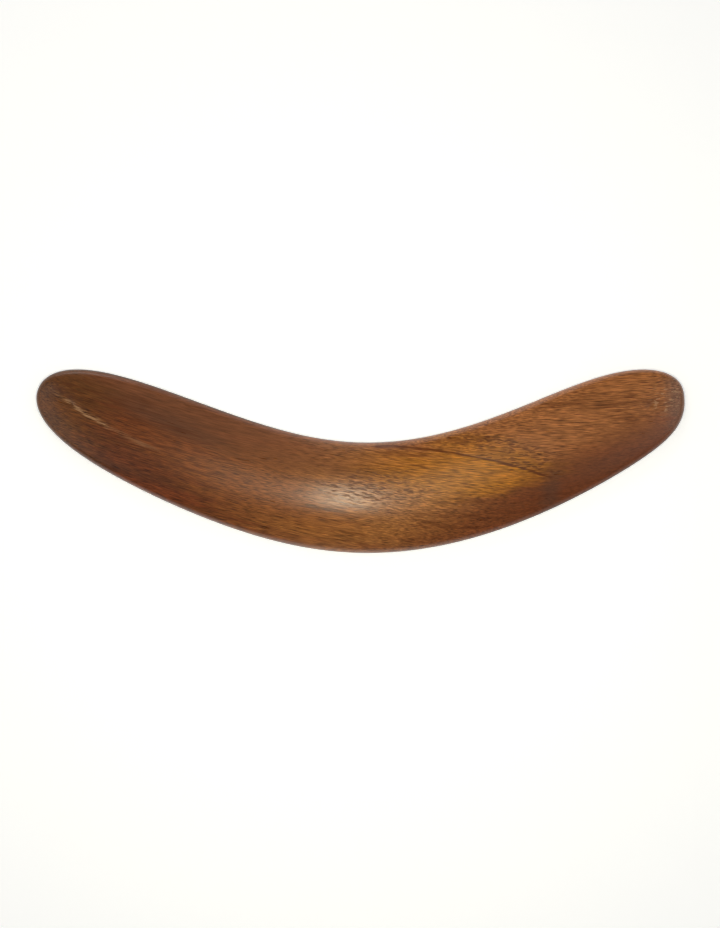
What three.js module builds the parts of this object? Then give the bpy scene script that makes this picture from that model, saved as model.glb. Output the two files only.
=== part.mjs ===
// A right-handed wooden boomerang, carved in one piece from a single board.
//
// Millimetres, +Z up. The underside is flat and lies on z = 0, X runs from tip to tip, and the hollow of
// the bend opens towards +Y. The origin is the middle of the bounding box, on its bottom face.
//
// The body is one loft. A centreline runs from the elbow out along each arm, a width law turns it into the
// plan outline, and a section law gives the height: a flat underside, a small round under the edge, a round
// over the edge, and a crowned top that peaks on a ridge line.

import * as THREE from "three";
import { mergeVertices } from "three/addons/utils/BufferGeometryUtils.js";

const { degToRad, lerp, smoothstep } = THREE.MathUtils;

// ---------------------------------------------------------------- driving dimensions

const ELBOW_WIDTH = 68.4; // across the elbow, from edge to edge
const ELBOW_BEND_RADIUS = 195; // of the centreline, where the arms meet
const ELBOW_THICKNESS = 16.5; // underside to ridge, at the summit of the elbow's swell
const SWELL_LENGTH = 48; // how far along the arms the swell reaches from its summit
const SUMMIT_OFFSET = -14; // of the summit from the elbow along the arms, where minus is towards the left

const ARM_ROOT_THICKNESS = 13; // underside to ridge at the elbow, without the swell
const TIP_THICKNESS = 8.6; // underside to ridge, where the ridge ends
const RIDGE_SETBACK = 25; // from the end of an arm back to the end of its ridge
const RIDGE_SHIFT = 5; // of the ridge from the centreline, towards the leading edge

const ELBOW_EDGE_HEIGHT = 7; // the crown's own height, carried out to the outline
const LEADING_EDGE_HEIGHT = 7.2; // the blunt edge, which meets the air first
const TRAILING_EDGE_HEIGHT = 4.8; // the thin edge
const TIP_EDGE_HEIGHT = 5.2;
const CROWN_POWER = 2.3; // 2 is a parabola, more is flatter on top

const WIDEST_HEIGHT = 2.6; // of the widest line above the underside
const OVER_ROUND = 3.2; // how far in the round over the edge reaches
const UNDER_ROUND = 2.4; // how far in the round under the edge reaches

// The two arms. Reach and rise place an arm's end from the elbow, along X and Y. The heading, in degrees
// from X, is the way the arm points there, and the run says for how long it has pointed that way.
const LEFT_ARM = {
  side: -1,
  reach: 203,
  rise: 68.2,
  heading: 24.8,
  run: 108,
  middleWidth: 66.2,
  endWidth: 69.8,
  endRound: 43, // how far from the end the rounding starts
  endPower: 2.06, // 2 rounds it as an ellipse, more is squarer
  leadingEdge: -1, // the outer edge of the bend
};
const RIGHT_ARM = {
  side: 1,
  reach: 195.6,
  rise: 61.6,
  heading: 4,
  run: 41.4,
  middleWidth: 66.1,
  endWidth: 63.6,
  endRound: 33.4,
  endPower: 2.44,
  leadingEdge: 1, // the inner edge of the bend
};

// Where things change along an arm, as shares of its length from the elbow.
const AIRFOIL_FROM = 0.5; // from here out, one edge fully leads and the other fully trails
const SHIFT_FADES_FROM = 0.75; // from here out, the ridge comes back to the middle
const RIDGE_END_PACE = 0.1; // how fast the ridge still advances at its end, 1 being as fast as the outline

// ---------------------------------------------------------------- fineness

const STATIONS = 46; // along each arm
const CROWN_STEPS = 8; // from the ridge to the round over the edge
const OVER_STEPS = 5; // around the round over the edge
const UNDER_STEPS = 4; // around the round under the edge
const CURVE_DIVISIONS = 2000; // that a centreline's length is measured with
const MERGE_DISTANCE = 1e-3;

// ---------------------------------------------------------------- laws along an arm

// An arm with its centreline, from the elbow at (0, 0) to its end, and that line's length. The first handle
// is as long as the bend radius asks, so the two arms meet with the same curvature.
function withCentreline(arm) {
  const angle = degToRad(arm.heading);
  const heading = new THREE.Vector2(arm.side * Math.cos(angle), Math.sin(angle));
  const elbow = new THREE.Vector2(0, 0);
  const end = new THREE.Vector2(arm.side * arm.reach, arm.rise);
  const endHandle = end.clone().addScaledVector(heading, -arm.run);
  const elbowRun = Math.sqrt((2 / 3) * endHandle.y * ELBOW_BEND_RADIUS);
  const elbowHandle = new THREE.Vector2(arm.side * elbowRun, 0);
  const centreline = new THREE.CubicBezierCurve(elbow, elbowHandle, endHandle, end);
  centreline.arcLengthDivisions = CURVE_DIVISIONS;
  return { ...arm, centreline, length: centreline.getLength() };
}

// In what follows, q is a place along an arm: 0 at the elbow, 1 at the arm's end.

// The unit vector square to the centreline, towards the hollow of the bend.
function across(arm, q) {
  const tangent = arm.centreline.getTangentAt(q);
  return new THREE.Vector2(-tangent.y, tangent.x).multiplyScalar(arm.side);
}

// Nearly 1 along the whole arm, falling to 0 at its rounded end.
function fullness(arm, q) {
  return (1 - q ** (arm.length / arm.endRound)) ** (1 / arm.endPower);
}

// A cubic that leaves the elbow's width level and passes through the middle and end widths.
function halfWidth(arm, q) {
  const toMiddle = (arm.middleWidth - ELBOW_WIDTH) / 2;
  const toEnd = (arm.endWidth - ELBOW_WIDTH) / 2;
  const cubic = 2 * toEnd - 8 * toMiddle;
  const square = toEnd - cubic;
  return (ELBOW_WIDTH / 2 + square * q ** 2 + cubic * q ** 3) * fullness(arm, q);
}

function ridgePoint(arm, q) {
  const setback = RIDGE_SETBACK / arm.length;
  const along = q - setback * q ** ((1 - RIDGE_END_PACE) / setback);
  const fade = 1 - smoothstep(q, SHIFT_FADES_FROM, 1);
  const shift = RIDGE_SHIFT * arm.leadingEdge * smoothstep(q, 0, AIRFOIL_FROM) * fade;
  return arm.centreline.getPointAt(along).addScaledVector(across(arm, along), shift);
}

function ridgeHeight(arm, q) {
  const fromSummit = arm.side * q * arm.length - SUMMIT_OFFSET;
  const swell = (ELBOW_THICKNESS - ARM_ROOT_THICKNESS) * Math.exp(-(fromSummit ** 2) / SWELL_LENGTH ** 2);
  return lerp(ARM_ROOT_THICKNESS, TIP_THICKNESS, q ** 2) + swell;
}

function edgeHeight(arm, q, edge) {
  const wing = edge === arm.leadingEdge ? LEADING_EDGE_HEIGHT : TRAILING_EDGE_HEIGHT;
  const body = lerp(ELBOW_EDGE_HEIGHT, wing, smoothstep(q, 0, AIRFOIL_FROM));
  return lerp(TIP_EDGE_HEIGHT, body, fullness(arm, q));
}

// ---------------------------------------------------------------- the outline, as a loop of stations

// A station on the inner edge (1) or the outer edge (-1) of the bend: its point on the outline, the point of
// the ridge that its section climbs to, and the crown's heights over the two.
function station(arm, q, edge) {
  const middle = arm.centreline.getPointAt(q);
  return {
    outline: middle.addScaledVector(across(arm, q), edge * halfWidth(arm, q)),
    ridge: ridgePoint(arm, q),
    outlineHeight: edgeHeight(arm, q, edge),
    ridgeHeight: ridgeHeight(arm, q),
  };
}

// Clockwise seen from above: from the left end along the inner edge to the right end, and back along the
// outer edge. Stations crowd towards the ends, where the outline turns.
function stationLoop(left, right) {
  const place = (i) => Math.sin((Math.PI / 2) * (i / STATIONS));
  const loop = [];
  for (const edge of [1, -1]) {
    const [arriving, leaving] = edge > 0 ? [left, right] : [right, left];
    for (let i = STATIONS; i > 0; i--) {
      loop.push(station(arriving, place(i), edge));
    }
    for (let i = 0; i < STATIONS; i++) {
      loop.push(station(leaving, place(i), edge));
    }
  }
  loop.forEach((here, i) => {
    const before = loop.at(i - 1).outline;
    const after = loop[(i + 1) % loop.length].outline;
    const along = after.clone().sub(before).normalize();
    here.inward = new THREE.Vector2(along.y, -along.x);
  });
  return loop;
}

// ---------------------------------------------------------------- the section at a station

// The point of the plan a distance in from the outline, square to it.
function inset(here, distance) {
  return here.outline.clone().addScaledVector(here.inward, distance);
}

// The section's length in plan: square in over the round, then straight to the ridge.
function sectionReach(here) {
  return OVER_ROUND + inset(here, OVER_ROUND).distanceTo(here.ridge);
}

function crownHeight(here, distanceToRidge) {
  const share = distanceToRidge / sectionReach(here);
  return lerp(here.ridgeHeight, here.outlineHeight, share ** CROWN_POWER);
}

// A point of the crown: step 0 is where the round over the edge ends, step 1 is on the ridge.
function crownPoint(here, step) {
  const place = inset(here, OVER_ROUND).lerp(here.ridge, step);
  return new THREE.Vector3(place.x, place.y, crownHeight(here, place.distanceTo(here.ridge)));
}

// A point of the round over the edge: angle 0 is on the widest line, a right angle is at the crown.
function overPoint(here, angle) {
  const distance = OVER_ROUND * (1 - Math.cos(angle));
  const place = inset(here, distance);
  const crown = crownHeight(here, sectionReach(here) - distance);
  return new THREE.Vector3(place.x, place.y, lerp(WIDEST_HEIGHT, crown, Math.sin(angle)));
}

// A point of the round under the edge: angle 0 is on the widest line, a right angle is at the flat.
function underPoint(here, angle) {
  const place = inset(here, UNDER_ROUND * (1 - Math.cos(angle)));
  return new THREE.Vector3(place.x, place.y, WIDEST_HEIGHT * (1 - Math.sin(angle)));
}

function flatMiddlePoint(here) {
  return new THREE.Vector3(here.ridge.x, here.ridge.y, 0);
}

// Each row takes a station to its point there. They run from the ridge down over the edge to the widest
// line, and on under the edge to the middle of the flat.
function sectionRows() {
  const rightAngle = Math.PI / 2;
  const rows = [];
  for (let i = CROWN_STEPS; i > 0; i--) {
    rows.push((here) => crownPoint(here, i / CROWN_STEPS));
  }
  for (let i = OVER_STEPS; i > 0; i--) {
    rows.push((here) => overPoint(here, (rightAngle * i) / OVER_STEPS));
  }
  for (let i = 0; i <= UNDER_STEPS; i++) {
    rows.push((here) => underPoint(here, (rightAngle * i) / UNDER_STEPS));
  }
  rows.push(flatMiddlePoint);
  return rows;
}

// ---------------------------------------------------------------- the solid

// The skin over all rows and stations. The loop passes the ridge and the middle of the flat twice, so its
// points there merge. Each quad next to an end of those lines is cut by the diagonal that starts at that
// end, because the other one would lay two faces on each other.
function closedSkin(loop, rows) {
  const positions = rows.flatMap((row) => loop.flatMap((here) => row(here).toArray()));
  const index = [];
  for (let row = 0; row < rows.length - 1; row++) {
    const onCrown = row < CROWN_STEPS;
    loop.forEach((here, i) => {
      const next = (i + 1) % loop.length;
      const [a, b] = [row * loop.length + i, row * loop.length + next];
      const [d, c] = [a + loop.length, b + loop.length];
      const leavingAnEnd = Math.floor(i / STATIONS) % 2 === 0;
      if (leavingAnEnd === onCrown) index.push(a, b, c, a, c, d);
      else index.push(a, b, d, b, c, d);
    });
  }
  const geometry = new THREE.BufferGeometry();
  geometry.setAttribute("position", new THREE.Float32BufferAttribute(positions, 3));
  geometry.setIndex(index);
  return mergeVertices(geometry, MERGE_DISTANCE);
}

function boomerangBody() {
  const loop = stationLoop(withCentreline(LEFT_ARM), withCentreline(RIGHT_ARM));
  const geometry = closedSkin(loop, sectionRows());
  geometry.computeVertexNormals();
  geometry.computeBoundingBox();
  const lacqueredWood = new THREE.MeshStandardMaterial({ color: 0x8a5530, roughness: 0.42, metalness: 0 });
  const body = new THREE.Mesh(geometry, lacqueredWood);
  body.name = "boomerang_body";
  const middle = geometry.boundingBox.getCenter(new THREE.Vector3());
  body.position.set(-middle.x, -middle.y, 0);
  return body;
}

const boomerang = new THREE.Group();
boomerang.add(boomerangBody());

export default boomerang;
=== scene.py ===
"""The looks of a lacquered wooden boomerang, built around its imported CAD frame.

Metres, in the row frame: X from tip to tip, +Y out of the open side of the bend, +Z up. The wood is a solid
texture in millimetres of the same frame, so its grain runs through the body and is cut by the carved surface.
"""

import math
from typing import NamedTuple

import bmesh
import bpy
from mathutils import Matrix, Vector

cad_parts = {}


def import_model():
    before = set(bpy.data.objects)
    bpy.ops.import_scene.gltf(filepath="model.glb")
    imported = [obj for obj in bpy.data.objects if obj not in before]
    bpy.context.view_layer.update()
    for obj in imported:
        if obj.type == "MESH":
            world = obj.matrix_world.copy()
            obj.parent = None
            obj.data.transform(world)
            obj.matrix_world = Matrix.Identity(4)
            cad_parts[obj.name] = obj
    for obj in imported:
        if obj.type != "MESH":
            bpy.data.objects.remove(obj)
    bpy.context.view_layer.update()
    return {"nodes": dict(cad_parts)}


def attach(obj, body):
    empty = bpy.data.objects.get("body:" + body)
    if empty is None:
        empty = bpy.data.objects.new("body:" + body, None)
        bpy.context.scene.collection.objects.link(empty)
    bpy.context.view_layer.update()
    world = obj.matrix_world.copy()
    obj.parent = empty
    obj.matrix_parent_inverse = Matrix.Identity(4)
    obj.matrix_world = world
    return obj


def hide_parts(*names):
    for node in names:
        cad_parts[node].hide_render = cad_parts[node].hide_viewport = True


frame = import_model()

MM = 0.001
NODE = "boomerang_body"


# ------------------------------------------------------------------ node graphs


class Graph:
    """A material's node tree. Each method adds one node and returns its output socket."""

    def __init__(self, tree):
        self.nodes = tree.nodes
        self.links = tree.links

    def feed(self, socket, value):
        if isinstance(value, bpy.types.NodeSocket):
            self.links.new(value, socket)
        else:
            socket.default_value = value

    def math(self, operation, first, second=0.0):
        node = self.nodes.new("ShaderNodeMath")
        node.operation = operation
        self.feed(node.inputs[0], first)
        self.feed(node.inputs[1], second)
        return node.outputs[0]

    def add(self, first, second):
        return self.math("ADD", first, second)

    def minus(self, first, second):
        return self.math("SUBTRACT", first, second)

    def times(self, first, second):
        return self.math("MULTIPLY", first, second)

    def object_point(self):
        """The surface point in millimetres of the row frame."""
        metres = self.nodes.new("ShaderNodeTexCoord").outputs["Object"]
        node = self.nodes.new("ShaderNodeVectorMath")
        node.operation = "SCALE"
        self.feed(node.inputs[0], metres)
        self.feed(node.inputs["Scale"], 1 / MM)
        return node.outputs[0]

    def split(self, vector):
        node = self.nodes.new("ShaderNodeSeparateXYZ")
        self.feed(node.inputs[0], vector)
        return node.outputs[0], node.outputs[1], node.outputs[2]

    def join(self, x, y, z):
        node = self.nodes.new("ShaderNodeCombineXYZ")
        for socket, value in zip(node.inputs, (x, y, z)):
            self.feed(socket, value)
        return node.outputs[0]

    def noise(self, point, detail):
        """Fractal noise between 0 and 1, with features about one unit of point across."""
        node = self.nodes.new("ShaderNodeTexNoise")
        self.feed(node.inputs["Vector"], point)
        self.feed(node.inputs["Scale"], 1.0)
        self.feed(node.inputs["Detail"], detail)
        return node.outputs["Fac"]

    def cells(self, point):
        """The distance to the nearest of scattered points, about one to a unit cube."""
        node = self.nodes.new("ShaderNodeTexVoronoi")
        self.feed(node.inputs["Vector"], point)
        self.feed(node.inputs["Scale"], 1.0)
        return node.outputs["Distance"]

    def ease(self, value, low, high, from_value=0.0, to_value=1.0):
        """A smooth step from from_value, where value is low, to to_value, where it is high."""
        node = self.nodes.new("ShaderNodeMapRange")
        node.interpolation_type = "SMOOTHSTEP"
        self.feed(node.inputs["Value"], value)
        for socket, bound in zip(list(node.inputs)[1:5], (low, high, from_value, to_value)):
            self.feed(socket, bound)
        return node.outputs[0]

    def local(self, point, centre, half_size, turn=0.0):
        """The point as seen from a box of that centre, half size and turn about Z, in half sizes."""
        node = self.nodes.new("ShaderNodeMapping")
        node.vector_type = "TEXTURE"
        self.feed(node.inputs["Vector"], point)
        self.feed(node.inputs["Location"], centre)
        self.feed(node.inputs["Rotation"], (0.0, 0.0, math.radians(turn)))
        self.feed(node.inputs["Scale"], half_size)
        return node.outputs[0]

    def length(self, vector):
        node = self.nodes.new("ShaderNodeVectorMath")
        node.operation = "LENGTH"
        self.feed(node.inputs[0], vector)
        return node.outputs["Value"]

    def mix(self, factor, first, second, blend="MIX"):
        node = self.nodes.new("ShaderNodeMix")
        node.data_type = "RGBA"
        node.blend_type = blend
        self.feed(node.inputs[0], factor)
        self.feed(node.inputs[6], first)
        self.feed(node.inputs[7], second)
        return node.outputs[2]

    def bump(self, height, distance):
        node = self.nodes.new("ShaderNodeBump")
        self.feed(node.inputs["Height"], height)
        self.feed(node.inputs["Distance"], distance)
        return node.outputs[0]


def srgb(red, green, blue):
    """A linear colour from 0-255 display values."""

    def linear(value):
        share = value / 255
        return share / 12.92 if share <= 0.04045 else ((share + 0.055) / 1.055) ** 2.4

    return (linear(red), linear(green), linear(blue), 1.0)


# ------------------------------------------------------------------ the wood

DARK_BROWN = srgb(100, 53, 26)
RED_BROWN = srgb(115, 57, 27)
EDGE_BROWN = srgb(132, 82, 54)
WARM_BROWN = srgb(138, 74, 26)
LIGHT_BROWN = srgb(166, 107, 55)
ORANGE_BROWN = srgb(168, 105, 59)
SHADE_BROWN = srgb(117, 62, 31)
GOLDEN = srgb(185, 116, 24)
GREY_BROWN = srgb(92, 60, 44)
OLIVE_BROWN = srgb(109, 67, 27)
# a painted sheen: the tan-grey reflection on the rounded right end
SHEEN_TAN = srgb(126, 88, 66)
CREAM = srgb(198, 150, 108)
PORE = srgb(82, 33, 4)
LINE = srgb(92, 42, 8)

GRAIN_SLOPE = -0.15  # of the fibres in the XY plane, at X = 0
GRAIN_BEND = 0.0012  # how much that slope grows per millimetre of X

# The figure of the wood is streaks of four sizes: their length and width, and the octaves of their noise.
LAYERS = {
    "broad": (160, 11, 2.0),
    "middle": (55, 2.2, 2.0),
    "fine": (16, 0.9, 3.0),
    "hair": (9, 0.36, 2.0),
}
FEATHER = {"middle": 1.1, "broad": 0.7}  # how far the streaks pull the border of a patch of colour
SOFT_SHADE = {"broad": 0.35, "middle": 0.42}  # how much they lighten and darken the wood
CRISP_SHADE = {"fine": 0.95, "hair": 3.8}
CALM_SHADE = -0.55  # how much less of the crisp shade there is where the wood is calm
RED_RANGE = 0.16  # the broad streaks go from dark to red over this much either way

GROWTH_LINE_FROM = 12.0  # where along X the dark growth line starts
GROWTH_LINE_TO = 113.0
GROWTH_LINE_Y = 9.4  # of its start
GROWTH_LINE_SLOPE = -0.034
GROWTH_LINE_BEND = -0.00146  # how much it curves away, per square millimetre
GROWTH_LINE_CORE = 0.225  # half the width of its dark middle
GROWTH_LINE_EDGE = 1.05  # half the width at which it has faded to nothing
GROWTH_LINE_FADE = 7.0  # how long each end takes to fade out
GROWTH_LINE_WOBBLE = {"fine": 2.0, "middle": 2.5}
GROWTH_LINE_STRENGTH = 0.85

GOLD_FLOOR_START = (41.0, -30.0)  # the lower border of the golden wood runs straight up from here
GOLD_FLOOR_SLOPE = 0.26
GOLD_FLOOR_RAGGED = 14.0  # how far its border strays
GOLD_FLOOR_BORDER = (-4.0, 5.0)  # the gold comes in over this height above its floor
GOLD_LINE_BORDER = (-0.6, 0.8)  # and thins out over this height above the growth line
GOLD_ABOVE_LINE = 0.25  # the share of the gold that carries on above the growth line

CREAM_START = (-167.0, 28.5)  # the pale streak near the left tip passes here
CREAM_SLOPE = -0.62
CREAM_BEND = 0.003
CREAM_WOBBLE = {"middle": 4.0, "fine": 5.0}
CREAM_CORE = 0.4  # half the width of its clear middle
CREAM_EDGE = 2.3  # half the width at which it has faded to nothing
CREAM_STRONG = (-178.0, -157.0, 6.0)  # from and to along X, and the fade beyond
CREAM_FAINT = (-181.0, -132.0, 14.0)
CREAM_FAINT_SHARE = 0.35
CREAM_BREAKS = (-0.16, 0.1)  # it shows where the fibres are lighter than this
CREAM_STRENGTH = 0.75

VEIN_LENGTH = 95
VEIN_SPACING = 5.5
VEIN_CORE = 0.006  # a vein is darkest where its noise is nearer to zero than this
VEIN_EDGE = 0.03
VEIN_PATCH_LENGTH = 70  # of the stretches where the veins show
VEIN_PATCH_WIDTH = 14
VEIN_PATCH_BORDER = (-0.08, 0.1)  # the veins come in over this much of its noise
VEIN_STRENGTH = 0.5

PORE_LENGTH = 5.2  # of a coarse pore's cell along the fibres
PORE_WIDTH = 0.8  # of the cell across them
PORE_REACH = 0.49  # how much of its cell a coarse pore fills
PORE_WANDER = 2.6  # how far coarse pores stray sideways
PORE_WANDER_LENGTH = 7
PORE_WANDER_WIDTH = 4
DASH_LENGTH = 6.5  # of the cell of the fine pores, which are everywhere
DASH_WIDTH = 0.7
DASH_REACH = 0.36
DASH_CALM = -0.16  # how much less they reach where the wood is calm
DASH_STRENGTH = 0.42
PIT_CORE = -0.14  # a pit is fully open where its cell's distance is this far inside its reach
PIT_RIM = 0.03  # and closed where it is this far outside
PIT_DEPTH = 0.03 * MM  # of an open pore under the lacquer
PIT_STRENGTH = 0.75
COARSE_FEATHER = 1.4  # how far the middle streaks pull the border of the coarse wood
COARSE_LINE_BORDER = (-2.5, 0.5)  # the coarse pores come in over this height above the growth line

# Painted shade, darkening the colour low on the edge all round the body:
RIM_HEIGHT = 3.4  # the painted shade on the edge is darkest below this height
RIM_TOP = 4.9  # and gone above this one, where the colour is as pale as the rest
RIM_SHADE = -0.65

FLECK_LENGTH = 3.5
FLECK_WIDTH = 1.3
FLECK_BORDER = (0.08, 0.15)  # a fleck is where its noise is higher than this
FLECK_STRENGTH = 0.65

LACQUER_IOR = 1.5
LACQUER_ROUGHNESS = 0.29
FIBRE_ROUGHNESS = 0.08
PIT_ROUGHNESS = 0.12
WORN_ROUGHNESS = 0.25
FIBRE_RELIEF = 0.15  # of the fine streaks, as a share of a pit's depth

RIGHT_THROUGH = 1e6  # half the height of every patch, which runs right through the board


class Patch(NamedTuple):
    """A turned ellipse of the XY plane, in millimetres and degrees."""

    centre: tuple
    half_size: tuple
    turn: float
    soft: float  # half the width of its border, in half sizes


ELBOW = Patch((6, -22), (78, 38), turn=-4, soft=0.6)
RIGHT_ARM = Patch((118, 26), (112, 34), turn=19, soft=0.5)
LEFT_OF_ELBOW = Patch((-62, -14), (50, 15), turn=-18, soft=0.7)
LEFT_ARM_MIDDLE = Patch((-118, 9), (42, 9), turn=-26, soft=0.7)
RIGHT_ARM_OUTSIDE = Patch((126, -19), (108, 19), turn=24, soft=0.7)
LEFT_ARM_INSIDE = Patch((-96, 28), (100, 13), turn=-21, soft=0.7)
DULL_STREAK = Patch((-116, 24), (32, 5), turn=-23, soft=0.8)
OVER_THE_LINE = Patch((78, 5), (36, 9), turn=-12, soft=0.6)
LEFT_TIP = Patch((-186, 32), (30, 30), turn=0, soft=0.6)
# painted sheen on the rounded right end
RIGHT_END_SHEEN = Patch((197, 38), (9, 26), turn=0, soft=0.5)
UNDER_THE_LINE = Patch((66, -12), (50, 16), turn=-4, soft=0.7)
END_OF_THE_LINE = Patch((117, -18), (6, 12), turn=-8, soft=0.7)

COARSE_BY_LINE = Patch((92, 4), (38, 11), turn=-12, soft=0.5)
COARSE_ON_ELBOW = Patch((10, -17), (40, 14), turn=-4, soft=0.6)
CALM_RIGHT = Patch((158, -2), (80, 22), turn=27, soft=0.4)
CALM_LEFT = Patch((-110, 30), (95, 14), turn=-21, soft=0.5)
WORN_TIP = Patch((188, 38), (9, 11), turn=-50, soft=0.4)

# What colour each patch is given, and how strongly, from the first laid to the last: stains of the wood, and
# a painted sheen on the right end.
STAINS_AND_SHEEN = (
    (ELBOW, LIGHT_BROWN, 0.95),
    (RIGHT_ARM, ORANGE_BROWN, 1.0),
    (LEFT_OF_ELBOW, WARM_BROWN, 0.85),
    (LEFT_ARM_MIDDLE, WARM_BROWN, 0.35),
    (RIGHT_ARM_OUTSIDE, SHADE_BROWN, 0.85),
    (LEFT_ARM_INSIDE, EDGE_BROWN, 0.8),
    (DULL_STREAK, GREY_BROWN, 0.45),
    (OVER_THE_LINE, GOLDEN, 0.5),
    (LEFT_TIP, OLIVE_BROWN, 0.7),
    # painted sheen, not a stain
    (RIGHT_END_SHEEN, SHEEN_TAN, 0.6),
)
GOLD_STRENGTH = 0.8
GREY_SPOT_STRENGTH = 0.6


def grain_point(graph, point):
    """(along, across, height) of the point in the wood, with the sweep of the fibres taken out."""
    x, y, z = graph.split(point)
    sweep = graph.times(x, graph.add(graph.times(x, GRAIN_BEND / 2), GRAIN_SLOPE))
    return x, graph.minus(y, sweep), z


def stretched(graph, grain, length, width):
    """The grain point in units that long and wide, in millimetres."""
    along, across, height = grain
    scaled = graph.times(along, 1 / length), graph.times(across, 1 / width), graph.times(height, 1 / width)
    return graph.join(*scaled)


def streaks(graph, grain, length, width, detail=2.0):
    """Noise between -0.5 and 0.5, drawn out along the fibres: its streaks are about that long and wide."""
    return graph.add(graph.noise(stretched(graph, grain, length, width), detail), -0.5)


def woven(graph, layers, weights):
    """The sum of the named layers, each times its weight."""
    total, *others = [graph.times(layers[name], weight) for name, weight in weights.items()]
    for other in others:
        total = graph.add(total, other)
    return total


def zone(graph, point, feather, patch):
    """1 inside the patch and 0 outside it, with a soft and fibrous border."""
    centre = (*patch.centre, 0.0)
    half_size = (*patch.half_size, RIGHT_THROUGH)
    inside = graph.local(point, centre, half_size, patch.turn)
    ragged = graph.add(graph.length(inside), feather)
    return graph.ease(ragged, 1 - patch.soft, 1 + patch.soft, 1.0, 0.0)


def above_curve(graph, point, start, slope, bend, wobble=0.0):
    """How far above a parabola in the XY plane the point is, in millimetres of Y."""
    x, y, _ = graph.split(point)
    start_x, start_y = start
    run = graph.add(x, -start_x)
    curve = graph.add(graph.times(run, graph.add(graph.times(run, bend), slope)), start_y)
    return graph.add(graph.minus(y, curve), wobble)


def above_growth_line(graph, point, wobble=0.0):
    """How far above the growth line the point is, in millimetres of Y."""
    start = (GROWTH_LINE_FROM, GROWTH_LINE_Y)
    return above_curve(graph, point, start, GROWTH_LINE_SLOPE, GROWTH_LINE_BEND, wobble)


def between(graph, value, low, high, soft):
    """1 where the value is between low and high, falling to 0 over soft beyond each."""
    rising = graph.ease(value, low - soft, low)
    falling = graph.ease(value, high, high + soft, 1.0, 0.0)
    return graph.times(rising, falling)


def gold_part(graph, point, feather):
    """Where the golden wood is: in its patch, mostly under the growth line and over its own floor."""
    patch = zone(graph, point, feather, UNDER_THE_LINE)
    under_line = graph.ease(above_growth_line(graph, point), *GOLD_LINE_BORDER, 1.0, GOLD_ABOVE_LINE)
    ragged = graph.times(feather, GOLD_FLOOR_RAGGED)
    height = above_curve(graph, point, GOLD_FLOOR_START, GOLD_FLOOR_SLOPE, 0.0, ragged)
    over_floor = graph.ease(height, *GOLD_FLOOR_BORDER)
    return graph.times(patch, graph.times(under_line, over_floor))


def marked(graph, colour, where, strength, shade):
    """The colour, turned towards the shade by that strength where it applies."""
    return graph.mix(graph.times(where, strength), colour, shade)


def wood_colour(graph, point, layers):
    """The slow changes of colour through the board, with a painted sheen on the rounded right end."""
    feather = woven(graph, layers, FEATHER)
    colour = graph.mix(graph.ease(layers["broad"], -RED_RANGE, RED_RANGE), DARK_BROWN, RED_BROWN)
    for patch, shade, strength in STAINS_AND_SHEEN:
        colour = marked(graph, colour, zone(graph, point, feather, patch), strength, shade)
    colour = marked(graph, colour, gold_part(graph, point, feather), GOLD_STRENGTH, GOLDEN)
    grey_spot = zone(graph, point, feather, END_OF_THE_LINE)
    return marked(graph, colour, grey_spot, GREY_SPOT_STRENGTH, GREY_BROWN)


def shaded(graph, colour, amount):
    """The colour, lighter or darker by that share."""
    value = graph.add(1.0, amount)
    return graph.mix(1.0, colour, graph.join(value, value, value), blend="MULTIPLY")


def fibre_shade(graph, layers, calm):
    """How much the fibres lighten or darken the wood, less so where it is calm."""
    crisp = graph.times(woven(graph, layers, CRISP_SHADE), graph.add(1.0, graph.times(calm, CALM_SHADE)))
    return graph.add(woven(graph, layers, SOFT_SHADE), crisp)


def dark_veins(graph, grain):
    """Thin dark lines that run with the fibres and come and go."""
    ridge = graph.math("ABSOLUTE", streaks(graph, grain, VEIN_LENGTH, VEIN_SPACING, detail=3.0))
    line = graph.ease(ridge, VEIN_CORE, VEIN_EDGE, 1.0, 0.0)
    shown = graph.ease(streaks(graph, grain, VEIN_PATCH_LENGTH, VEIN_PATCH_WIDTH), *VEIN_PATCH_BORDER)
    return graph.times(line, shown)


def painted_edge_shade(graph, point):
    """How much painted shade darkens the colour low on the edge, all round the body."""
    return graph.ease(graph.split(point)[2], RIM_HEIGHT, RIM_TOP, RIM_SHADE, 0.0)


def coarse_part(graph, point, feather):
    """Where the pores are cut open wide: above the growth line and on the elbow."""
    beside_line = zone(graph, point, feather, COARSE_BY_LINE)
    above_line = graph.ease(above_growth_line(graph, point), *COARSE_LINE_BORDER)
    on_elbow = zone(graph, point, feather, COARSE_ON_ELBOW)
    return graph.math("MAXIMUM", graph.times(beside_line, above_line), on_elbow)


def calm_part(graph, point, feather):
    """Where the wood is even, with few marks: the lower side of the right arm and the inside of the left."""
    right = zone(graph, point, feather, CALM_RIGHT)
    left = zone(graph, point, feather, CALM_LEFT)
    return graph.math("MAXIMUM", right, left)


def pits_in(graph, grain, length, width, reach):
    """Slim pits along the fibres, one to a cell of that length and width, as wide as the reach says."""
    cells = graph.cells(stretched(graph, grain, length, width))
    return graph.ease(graph.minus(cells, reach), PIT_CORE, PIT_RIM, 1.0, 0.0)


def pores(graph, grain, coarse, calm):
    """How open the wood is, between 0 and 1: wide pits where it is coarse, and fine dashes all over."""
    along, across, height = grain
    wander = streaks(graph, grain, PORE_WANDER_LENGTH, PORE_WANDER_WIDTH)
    stray = graph.times(wander, graph.times(coarse, PORE_WANDER))
    strayed = (along, graph.add(across, stray), height)
    wide = pits_in(graph, strayed, PORE_LENGTH, PORE_WIDTH, graph.times(coarse, PORE_REACH))
    dash_reach = graph.add(DASH_REACH, graph.times(calm, DASH_CALM))
    dashes = pits_in(graph, grain, DASH_LENGTH, DASH_WIDTH, dash_reach)
    return graph.math("MAXIMUM", graph.times(wide, coarse), graph.times(dashes, DASH_STRENGTH))


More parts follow.
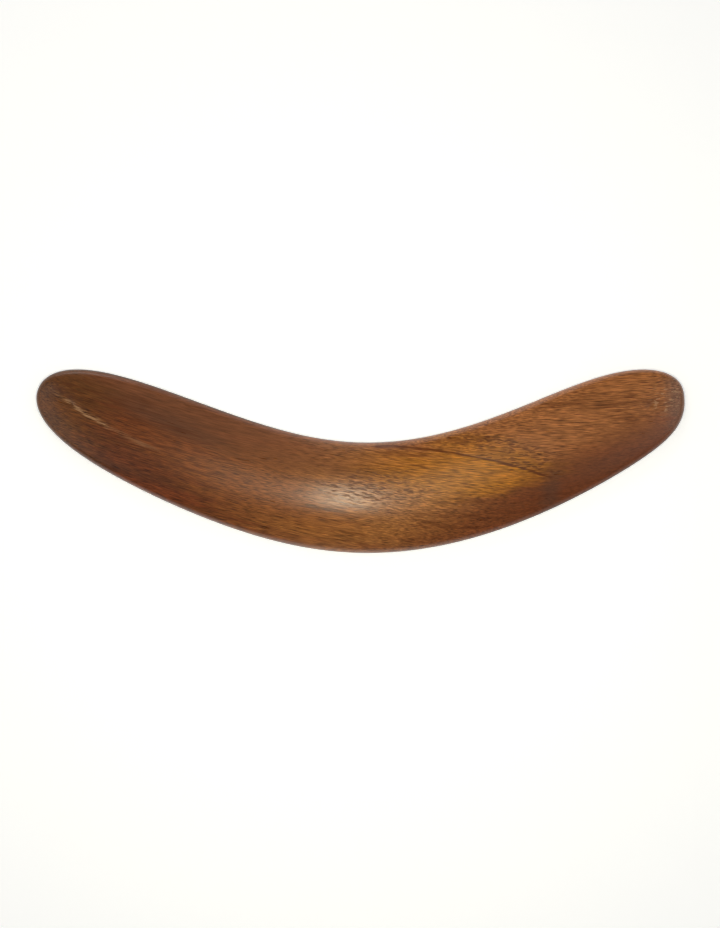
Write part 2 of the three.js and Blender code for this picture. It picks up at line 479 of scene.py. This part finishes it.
def cream_streak(graph, point, layers):
    """A pale sapwood streak near the left tip, broken up by the fibres."""
    wobble = woven(graph, layers, CREAM_WOBBLE)
    above = above_curve(graph, point, CREAM_START, CREAM_SLOPE, CREAM_BEND, wobble)
    line = graph.ease(graph.math("ABSOLUTE", above), CREAM_CORE, CREAM_EDGE, 1.0, 0.0)
    x = graph.split(point)[0]
    strong = graph.times(line, between(graph, x, *CREAM_STRONG))
    faint = graph.times(graph.times(line, between(graph, x, *CREAM_FAINT)), CREAM_FAINT_SHARE)
    broken = graph.ease(graph.add(layers["fine"], layers["hair"]), *CREAM_BREAKS)
    return graph.times(graph.math("MAXIMUM", strong, faint), broken)


def worn_flecks(graph, point, grain):
    """Small pale nicks in the lacquer near the right tip."""
    nicks = graph.ease(streaks(graph, grain, FLECK_LENGTH, FLECK_WIDTH, detail=3.0), *FLECK_BORDER)
    return graph.times(zone(graph, point, 0.0, WORN_TIP), nicks)


def growth_line_mark(graph, point, layers):
    """The dark line itself, thin and a little uneven."""
    above = above_growth_line(graph, point, woven(graph, layers, GROWTH_LINE_WOBBLE))
    line = graph.ease(graph.math("ABSOLUTE", above), GROWTH_LINE_CORE, GROWTH_LINE_EDGE, 1.0, 0.0)
    x = graph.split(point)[0]
    return graph.times(line, between(graph, x, GROWTH_LINE_FROM, GROWTH_LINE_TO, GROWTH_LINE_FADE))


def lacquered_wood():
    """The whole material: solid wood, open pores and a clear satin lacquer, with painted shade low on the
    edge and a painted sheen on the right end.
    """
    material = bpy.data.materials.new("lacquered_wood")
    material.use_nodes = True
    graph = Graph(material.node_tree)
    shader = material.node_tree.nodes["Principled BSDF"]
    point = graph.object_point()
    grain = grain_point(graph, point)
    layers = {name: streaks(graph, grain, *shape) for name, shape in LAYERS.items()}
    coarse = coarse_part(graph, point, graph.times(layers["middle"], COARSE_FEATHER))
    calm = calm_part(graph, point, layers["broad"])
    pits = pores(graph, grain, coarse, calm)
    line = growth_line_mark(graph, point, layers)
    flecks = worn_flecks(graph, point, grain)

    colour = wood_colour(graph, point, layers)
    colour = shaded(graph, colour, fibre_shade(graph, layers, calm))
    colour = marked(graph, colour, dark_veins(graph, grain), VEIN_STRENGTH, LINE)
    colour = marked(graph, colour, line, GROWTH_LINE_STRENGTH, LINE)
    colour = marked(graph, colour, pits, PIT_STRENGTH, PORE)
    colour = marked(graph, colour, cream_streak(graph, point, layers), CREAM_STRENGTH, CREAM)
    colour = marked(graph, colour, flecks, FLECK_STRENGTH, CREAM)
    # painted shade low on the edge
    colour = shaded(graph, colour, painted_edge_shade(graph, point))
    graph.feed(shader.inputs["Base Color"], colour)

    shader.inputs["IOR"].default_value = LACQUER_IOR
    worn = graph.times(flecks, WORN_ROUGHNESS)
    uneven = graph.add(graph.times(layers["fine"], FIBRE_ROUGHNESS), worn)
    roughness = graph.add(graph.add(LACQUER_ROUGHNESS, uneven), graph.times(pits, PIT_ROUGHNESS))
    graph.feed(shader.inputs["Roughness"], roughness)
    relief = graph.minus(graph.times(layers["fine"], FIBRE_RELIEF), graph.add(pits, line))
    graph.feed(shader.inputs["Normal"], graph.bump(relief, PIT_DEPTH))
    return material


# ------------------------------------------------------------------ the body

SUBDIVISIONS = 2
WELD_DISTANCE = 0.001 * MM
FLATTEST_JOIN = 0.6  # radians between two triangles that make one quad
LEAST_SQUARE = 3.0  # radians that a quad's corners may be off square


def fine_body():
    """The CAD body with a smooth fine surface."""
    body = frame["nodes"][NODE].copy()
    body.data = body.data.copy()
    body.name = "carved_body"
    body.data.name = "carved_body"
    bpy.context.scene.collection.objects.link(body)
    for key in list(body.keys()):
        del body[key]
    mesh = bmesh.new()
    mesh.from_mesh(body.data)
    bmesh.ops.remove_doubles(mesh, verts=mesh.verts, dist=WELD_DISTANCE)
    bmesh.ops.join_triangles(
        mesh,
        faces=mesh.faces,
        angle_face_threshold=FLATTEST_JOIN,
        angle_shape_threshold=LEAST_SQUARE,
    )
    mesh.to_mesh(body.data)
    mesh.free()
    body.data.shade_smooth()
    smooth = body.modifiers.new("smooth", "SUBSURF")
    smooth.levels = SUBDIVISIONS
    smooth.render_levels = SUBDIVISIONS
    body.data.materials.clear()
    body.data.materials.append(lacquered_wood())
    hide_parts(NODE)
    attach(body, "root")
    return body


# ------------------------------------------------------------------ the studio

VIEW_CENTRE = Vector((-0.0003, -0.0017, 0.0))
VIEW_HEIGHT = 0.8
VIEW_TALL = 0.5727  # what the camera sees from top to bottom, at the body's widest line
WIDEST_HEIGHT = 2.6 * MM
SENSOR_WIDTH = 36.0
NEAR_CLIP = 0.05
FAR_CLIP = 20
FLOOR_HALF_SIZE = 4.0
WHITE = (1, 1, 1, 1)
PAPER_WHITE = (0.88, 0.88, 0.88, 1)
PAPER_GLOW = 0.5
PAPER_ROUGHNESS = 0.9
LAMP_WHITE = (1.0, 0.97, 0.76)
HORIZON_BAND = (0.2, 0.6)  # how high the horizon's light starts to fade, and where it has faded
HORIZON_STRENGTH = 0.6
CEILING_STRENGTH = 0.06


def camera():
    """Straight above the body, as in the photo."""
    data = bpy.data.cameras.new("camera")
    data.sensor_width = SENSOR_WIDTH
    data.lens = data.sensor_width * (VIEW_HEIGHT - WIDEST_HEIGHT) / VIEW_TALL
    data.clip_start = NEAR_CLIP
    data.clip_end = FAR_CLIP
    made = bpy.data.objects.new("camera", data)
    made.location = VIEW_CENTRE + Vector((0, 0, VIEW_HEIGHT))
    bpy.context.scene.collection.objects.link(made)
    bpy.context.scene.camera = made


def floor():
    """Plain white paper that glows a little, to be as white as the photo's background."""
    mesh = bpy.data.meshes.new("floor")
    half = FLOOR_HALF_SIZE
    corners = [(-half, -half, 0), (half, -half, 0), (half, half, 0), (-half, half, 0)]
    mesh.from_pydata(corners, [], [(0, 1, 2, 3)])
    made = bpy.data.objects.new("floor", mesh)
    bpy.context.scene.collection.objects.link(made)
    material = bpy.data.materials.new("floor_paper")
    material.use_nodes = True
    shader = material.node_tree.nodes["Principled BSDF"]
    shader.inputs["Base Color"].default_value = PAPER_WHITE
    shader.inputs["Emission Color"].default_value = WHITE
    shader.inputs["Emission Strength"].default_value = PAPER_GLOW
    shader.inputs["Roughness"].default_value = PAPER_ROUGHNESS
    shader.inputs["Specular IOR Level"].default_value = 0.0
    mesh.materials.append(material)


def area_light(name, location, size, radiance, shape="RECTANGLE", colour=WHITE[:3]):
    """A light that faces the origin."""
    data = bpy.data.lights.new(name, "AREA")
    data.color = colour
    data.shape = shape
    data.size, data.size_y = size
    filled = math.pi / 4 if shape == "ELLIPSE" else 1
    data.energy = radiance * math.pi * size[0] * size[1] * filled
    made = bpy.data.objects.new(name, data)
    made.location = location
    made.rotation_euler = (-Vector(location)).to_track_quat("-Z", "Y").to_euler()
    bpy.context.scene.collection.objects.link(made)


def world():
    """A dim ceiling over a brighter horizon."""
    made = bpy.data.worlds.new("studio")
    bpy.context.scene.world = made
    made.use_nodes = True
    graph = Graph(made.node_tree)
    direction = graph.nodes.new("ShaderNodeTexCoord").outputs["Generated"]
    height = graph.split(direction)[2]
    strength = graph.ease(height, *HORIZON_BAND, HORIZON_STRENGTH, CEILING_STRENGTH)
    graph.feed(graph.nodes["Background"].inputs["Strength"], strength)
    graph.nodes["Background"].inputs["Color"].default_value = WHITE


def studio():
    """The camera, the floor and the lights: a small lamp over the elbow and three large soft ones."""
    camera()
    floor()
    world()
    key_place = (-0.015, -0.035, 0.5)
    area_light("key", key_place, size=(0.18, 0.15), radiance=15.2, shape="ELLIPSE", colour=LAMP_WHITE)
    for name, x in (("left", -1.25), ("right", 1.25)):
        area_light(name, (x, 0, 1.25), size=(1.6, 0.9), radiance=0.85)
    area_light("window", (-0.42, 1.29, 0.63), size=(0.8, 0.25), radiance=4.0)
    bpy.context.scene.view_settings.view_transform = "Standard"


fine_body()
studio()
